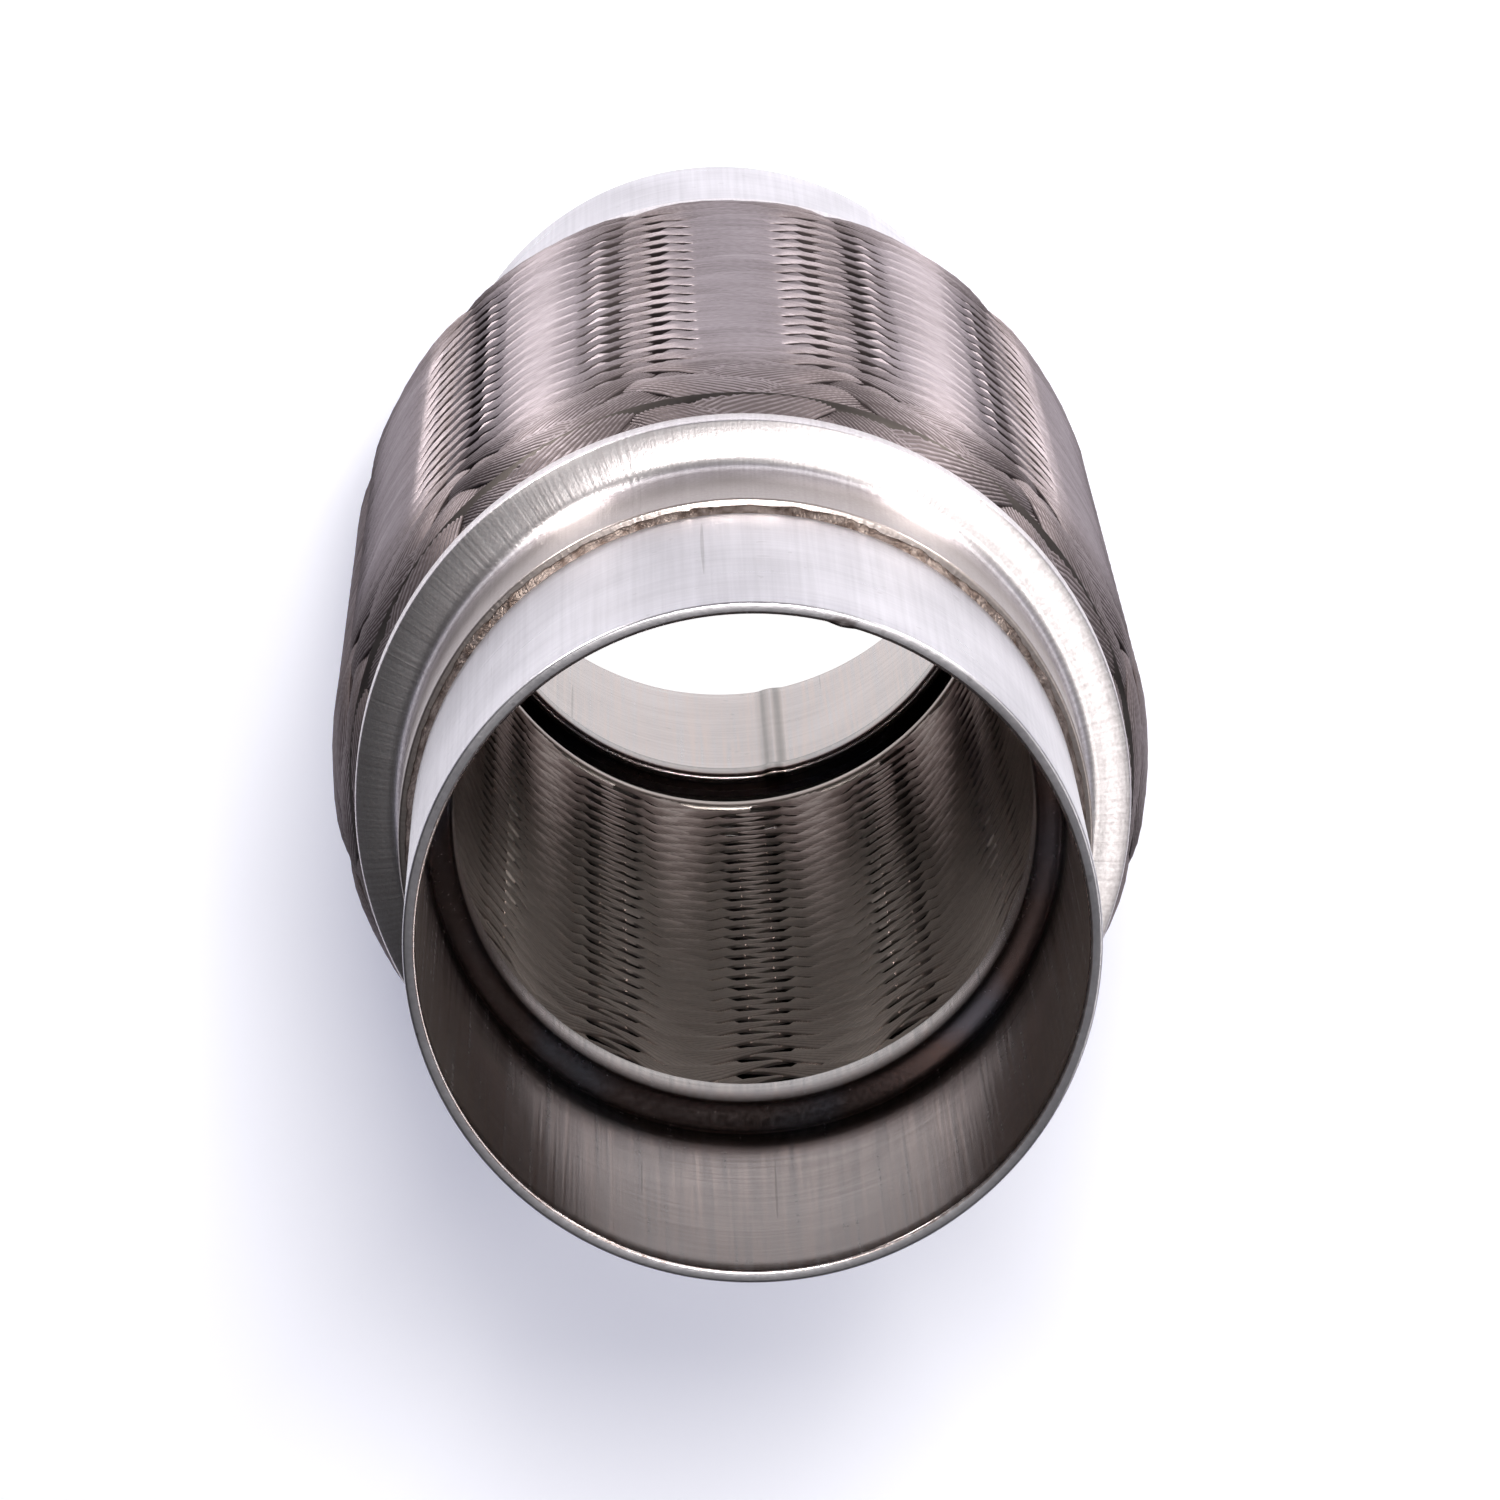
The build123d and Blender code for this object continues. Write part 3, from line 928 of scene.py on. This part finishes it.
    spot = add(tree, "ShaderNodeCombineXYZ", [known["x"], known["y"], known["z"]])
    marked = {"Geometry": bars, "Name": "laced", "Value": known["laced"]}
    bars = add(tree, "GeometryNodeStoreNamedAttribute", marked)
    wound = add(tree, "GeometryNodeSetPosition", {"Geometry": bars, "Position": spot})
    wound = add(tree, "GeometryNodeSetShadeSmooth", [wound])
    valley = add(tree, "GeometryNodeInputNamedAttribute", {"Name": "groove"})
    both = add(tree, MATH, [valley.outputs["Attribute"], 0.9], operation="GREATER_THAN")
    creased = {"Geometry": wound, "Selection": both, "Shade Smooth": False}
    wound = add(tree, "GeometryNodeSetShadeSmooth", creased, domain="EDGE")
    wound = add(tree, "GeometryNodeRealizeInstances", [wound])
    wound = add(tree, "GeometryNodeSetMaterial", {"Geometry": wound, "Material": given["Material"]})
    add(tree, "NodeGroupOutput", [wound])
    return tree


def woven(name, sizes, extra, material, node):
    """A woven layer as two pieces, one for each direction of winding."""
    climb = PIPE_LENGTH - sizes.low_end - sizes.high_end - (1 + sizes.low_share) * sizes.end_rise
    arc_length = climb / sizes.row_pitch * STRAND_PITCH
    values = {titled(size): getattr(sizes, size) for size in WEAVE if size != "high_end"}
    values["High Cut"] = PIPE_LENGTH - sizes.high_cut
    values |= {"Turn": 1.0, "Offset": 0.0, "Arc": arc_length, "Material": material, **extra}
    tree = weave_tree(name, values)
    for hand, turn in (("right", 1.0), ("left", -1.0)):
        values["Turn"] = turn
        values["Offset"] = -turn * sizes.row_pitch / 4
        piece = f"{name}_{hand}_strands"
        put(piece, grown(piece, tree, values), material, node)


class FLEXPIPE_OT_sleeve(bpy.types.Operator):
    """Makes the woven sleeve over the bellows"""

    bl_idname = "flexpipe.sleeve"
    bl_label = "Sleeve"

    def execute(self, context):
        sizes = context.scene.flexpipe_sleeve
        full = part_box("outer_braid")[1].x - sizes.lift - sizes.wire_height
        extra = {"Side": 1.0, "Full Radius": full, "Swell Rise": full - sizes.skirt_radius}
        wire = drawn_wire("Drawn stainless wire", sizes, 0.3, 0.8)
        woven("Sleeve", sizes, extra, wire, "outer_braid")
        return {"FINISHED"}


class FLEXPIPE_OT_liner(bpy.types.Operator):
    """Makes the woven liner inside the bellows"""

    bl_idname = "flexpipe.liner"
    bl_label = "Liner"

    def execute(self, context):
        sizes = context.scene.flexpipe_liner
        full = sizes.radius + sizes.lift + sizes.wire_height
        extra = {"Side": -1.0, "Full Radius": full, "Swell Rise": 0.0}
        # Its colours are painted lighter, as painted light for the dim inside of the pipe
        wire = drawn_wire("Drawn stainless wire, darkened", sizes, 0.34, 0.5)
        woven("Liner", sizes, extra, wire, "inner_braid")
        # Towards the outlet the strands' ends are held in a rolled hem
        roll = sizes.hem_roll
        half = sizes.hem / 2 - roll
        middle = sizes.low_end - half
        centre = sizes.radius + roll - sizes.hem_reach
        hem = arc(centre, middle - half, roll, -pi, 0, 10) + arc(centre, middle + half, roll, 0, pi, 10)
        mesh = lathe("Liner_outlet_hem", hem, HEM_ROUND)
        put("Liner_outlet_hem", mesh, wire, "inner_braid")
        return {"FINISHED"}


class FLEXPIPE_OT_bellows(bpy.types.Operator):
    """Makes the corrugated bellows between the sleeve and the liner"""

    bl_idname = "flexpipe.bellows"
    bl_label = "Bellows"

    def fold_tree(self, name, sizes):
        """A tube whose radius waves between root and crest."""
        tree, given = tree_with(name, sizes)
        line = add(tree, "GeometryNodeCurvePrimitiveLine", {"End": (0, 0, 1)})
        known = {label: given[label] for label in sizes}
        # Six steps to a fold
        work_out(tree, known, ("steps", "*", "Folds", 6), ("steps", "+", "steps", 1))
        rail = add(tree, "GeometryNodeResampleCurve", {"Curve": line, "Count": known["steps"]})
        ring = add(tree, "GeometryNodeCurvePrimitiveCircle", {"Resolution": 96})
        tube = add(tree, "GeometryNodeCurveToMesh", {"Curve": rail, "Profile Curve": ring})
        place = add(tree, "ShaderNodeSeparateXYZ", [add(tree, "GeometryNodeInputPosition")]).outputs
        known.update(x=place["X"], y=place["Y"], along=place["Z"])
        work_out(
            tree,
            known,
            ("turns", "*", "along", "Folds"),
            ("turns", "*", "turns", 2 * pi),
            ("fold", "COSINE", "turns"),
            ("fold", "*+", "fold", -0.5, 0.5),
            ("fold", "*", "fold", "Depth"),
            ("radius", "+", "fold", "Root"),
            ("x", "*", "x", "radius"),
            ("y", "*", "y", "radius"),
            ("z", "*+", "along", "Length", "Start"),
        )
        spot = add(tree, "ShaderNodeCombineXYZ", [known["x"], known["y"], known["z"]])
        tube = add(tree, "GeometryNodeSetPosition", {"Geometry": tube, "Position": spot})
        tube = add(tree, "GeometryNodeRealizeInstances", [tube])
        tube = add(tree, "GeometryNodeSetMaterial", {"Geometry": tube, "Material": given["Material"]})
        add(tree, "NodeGroupOutput", [tube])
        return tree

    def execute(self, context):
        sizes = context.scene.flexpipe_bellows
        steel = formed_sheet(sizes)
        values = {
            "Folds": sizes.folds,
            "Root": sizes.root,
            "Depth": sizes.crest - sizes.root,
            "Start": sizes.end,
            "Length": PIPE_LENGTH - 2 * sizes.end,
            "Material": steel,
        }
        mesh = grown("Bellows_folds", self.fold_tree("Bellows", values), values, sizes.wall)
        put("Bellows_folds", mesh, steel, "bellows")
        return {"FINISHED"}


class FLEXPIPE_OT_welds(bpy.types.Operator):
    """Makes the uneven weld beads between the caps and the tube ends"""

    bl_idname = "flexpipe.welds"
    bl_label = "Welds"

    def execute(self, context):
        sizes = context.scene.flexpipe_weld
        tube = context.scene.flexpipe_tube.radius
        front = context.scene.flexpipe_cap.front
        metal = welded(sizes)
        bead = [(tube - sizes.root, front - sizes.length), (tube, front - sizes.length)]
        steps = 7
        for k in range(1, steps + 1):
            swell = sizes.height * sin(pi / 2 * k / steps)
            bead.append((tube + swell, front - sizes.length * (1 - k / steps) ** 1.3))
        bead += [(tube + sizes.height, front + sizes.cover), (tube - sizes.root, front + sizes.cover)]

        def rippled(r, z, turn):
            if r <= tube:
                return r, z
            # Lumps of about 3.5, 1.1 and 0.4 mm
            around = Vector((cos(turn), sin(turn), 0)) * 9
            wave = noise.noise(around) + 0.6 * noise.noise(around * 3.1) + 0.4 * noise.noise(around * 9)
            return r + sizes.ripple * wave * (r - tube) / sizes.height, z

        for name in ("outlet_weld", "inlet_weld"):
            mesh = lathe(name, at_end(name, bead), WELD_ROUND, rippled)
            put("Bead_" + name, mesh, metal, name)
        return {"FINISHED"}


class FLEXPIPE_PT_pieces(bpy.types.Panel):
    """Lists the steps that make the flex pipe, with their sizes and colours"""

    bl_idname = "FLEXPIPE_PT_pieces"
    bl_label = "Flex Pipe"
    bl_space_type = "VIEW_3D"
    bl_region_type = "UI"
    bl_category = "Flex Pipe"

    def draw(self, context):
        for name, (group, operator) in STEPS.items():
            box = self.layout.box()
            box.operator(operator.bl_idname)
            for size in group.__annotations__:
                box.prop(getattr(context.scene, "flexpipe_" + name), size)


# In the order in which they run
STEPS = {
    "stage": (StageSizes, FLEXPIPE_OT_stage),
    "tube": (TubeSizes, FLEXPIPE_OT_tube_ends),
    "cap": (CapSizes, FLEXPIPE_OT_caps),
    "weld": (WeldSizes, FLEXPIPE_OT_welds),
    "bellows": (BellowsSizes, FLEXPIPE_OT_bellows),
    "sleeve": (SleeveSizes, FLEXPIPE_OT_sleeve),
    "liner": (LinerSizes, FLEXPIPE_OT_liner),
}


def register():
    """Registers the classes and gives the scene its sizes."""
    for name, (group, operator) in STEPS.items():
        bpy.utils.register_class(group)
        bpy.utils.register_class(operator)
        setattr(bpy.types.Scene, "flexpipe_" + name, PointerProperty(type=group))
    bpy.utils.register_class(FLEXPIPE_PT_pieces)


def unregister():
    """Takes the classes and sizes away again."""
    bpy.utils.unregister_class(FLEXPIPE_PT_pieces)
    for name, (group, operator) in reversed(STEPS.items()):
        delattr(bpy.types.Scene, "flexpipe_" + name)
        bpy.utils.unregister_class(operator)
        bpy.utils.unregister_class(group)


def main():
    """Makes every piece."""
    register()
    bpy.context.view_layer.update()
    bpy.ops.flexpipe.stage()
    bpy.ops.flexpipe.tube_ends()
    bpy.ops.flexpipe.caps()
    bpy.ops.flexpipe.welds()
    bpy.ops.flexpipe.bellows()
    bpy.ops.flexpipe.sleeve()
    bpy.ops.flexpipe.liner()


if __name__ == "__main__":
    main()
